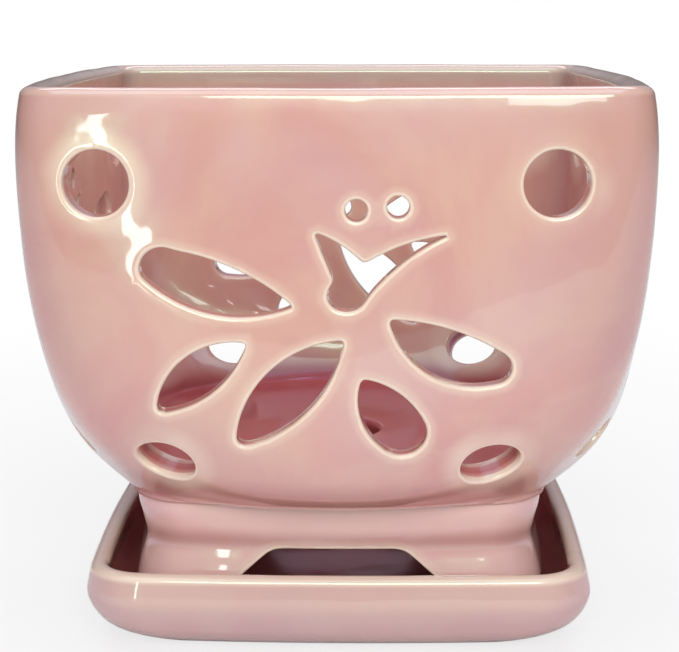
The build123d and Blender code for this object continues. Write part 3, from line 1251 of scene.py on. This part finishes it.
# %% [markdown]
# The camera sees the table and the room behind it as plain white. Near the middle of the table
# some of its own surface stays in the mix, and with it the shadow of the saucer.

# %% White behind the pot
glow = add(table_tree, "ShaderNodeEmission", {"Color": (1, 1, 1, 1), "Strength": 1.0})
seen = add(table_tree, "ShaderNodeLightPath").outputs["Is Camera Ray"]
table_place = add(table_tree, "ShaderNodeTexCoord").outputs["Object"]
away = add(table_tree, "ShaderNodeVectorMath", {0: table_place}, operation="LENGTH")
white_share = calculated(table_tree, "MULTIPLY", seen,
                         mapped(table_tree, away.outputs["Value"], 0.08, 0.45, 0.75, 1.0))
surface = add(table_tree, "ShaderNodeMixShader", {
    0: white_share, 1: paint.outputs[0], 2: glow.outputs[0]})
table_tree.links.new(surface.outputs[0], table_tree.nodes["Material Output"].inputs["Surface"])

room = bpy.data.worlds.new("room")
scene.world = room
room.use_nodes = True
room_tree = room.node_tree
grey = room_tree.nodes["Background"]
direction = add(room_tree, "ShaderNodeTexCoord").outputs["Generated"]
split = add(room_tree, "ShaderNodeSeparateXYZ", {0: direction})
rise, depth = split.outputs["Z"], split.outputs["Y"]
walls = mixed(room_tree, mapped(room_tree, rise, 0.05, 0.30), (0.28, 0.24, 0.24, 1),
              (0.50, 0.48, 0.56, 1))
walls = mixed(room_tree, mapped(room_tree, rise, 0.5, 0.9), walls, (0.40, 0.39, 0.40, 1))
strength = calculated(room_tree, "MAXIMUM", mapped(room_tree, depth, 0.1, -0.9, 0.38, 1.3),
                      mapped(room_tree, depth, 0.6, 0.98, 0.0, 0.9))
room_tree.links.new(walls, grey.inputs["Color"])
room_tree.links.new(strength, grey.inputs["Strength"])
white = add(room_tree, "ShaderNodeBackground", {"Color": (1, 1, 1, 1), "Strength": 1.0})
seen = add(room_tree, "ShaderNodeLightPath").outputs["Is Camera Ray"]
room_mix = add(room_tree, "ShaderNodeMixShader", {
    0: seen, 1: grey.outputs[0], 2: white.outputs[0]})
room_tree.links.new(room_mix.outputs[0], room_tree.nodes["World Output"].inputs["Surface"])
print("the room and the table are white to the camera")

# %% Lamps: place and size in metres, power in watts, colour
lamps = {
    "soft_top": ((0.0, -0.2, 1.1), (1.2, 0.8), 5.6, (0.97, 0.97, 1.0)),
    "soft_key": ((0.16, -1.55, 0.9), (1.1, 0.6), 15.8, (1, 1, 1)),
    "soft_back": ((0.0, 1.0, 1.4), (1.6, 0.5), 8.0, (1, 1, 1)),
    "wide_window": ((-0.09, -1.95, 0.76), (1.0, 0.45), 0.95, (0.74, 0.64, 1.0)),
    "right_pane": ((0.57, -1.95, 0.70), (0.29, 0.26), 1.5, (0.92, 0.94, 1.0)),
    "left_gap": ((-0.53, -1.55, 0.04), (0.045, 0.75), 1.4, (1, 1, 1)),
}
lit_point = Vector((0, 0, 0.08))
for name, (place, size, power, colour) in lamps.items():
    lamp = bpy.data.lights.new(name, "AREA")
    lamp.shape = "RECTANGLE"
    lamp.size, lamp.size_y = size
    lamp.energy, lamp.color = power, colour
    holder = bpy.data.objects.new(name, lamp)
    holder.location = place
    holder.rotation_euler = (lit_point - Vector(place)).to_track_quat("-Z", "Y").to_euler()
    scene.collection.objects.link(holder)
print("lamps:", list(lamps))

# %% [markdown]
# The camera stands close, a little above the rim and nearly square to the front, which is why
# the front looks so much wider than the back.

# %% Camera
camera_data = bpy.data.cameras.new("camera")
camera_data.sensor_width = 36
camera_data.lens = 90.16
camera_data.dof.use_dof = False
camera_data.clip_start = 0.01
camera = bpy.data.objects.new("camera", camera_data)
camera.location = (8.6 * mm, -446.6 * mm, 154.8 * mm)
camera.rotation_euler = (radians(90 - 10.71), 0, radians(1.17))
camera.rotation_euler.rotate_axis("Z", radians(-0.1))
scene.collection.objects.link(camera)
scene.camera = camera
scene.view_settings.view_transform = "Standard"
print("the camera is", round(camera.location.length, 2), "m from the middle of the saucer")

# %% Finish
[[list(corner) for corner in bounds] for bounds in (cad_bounds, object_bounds())]
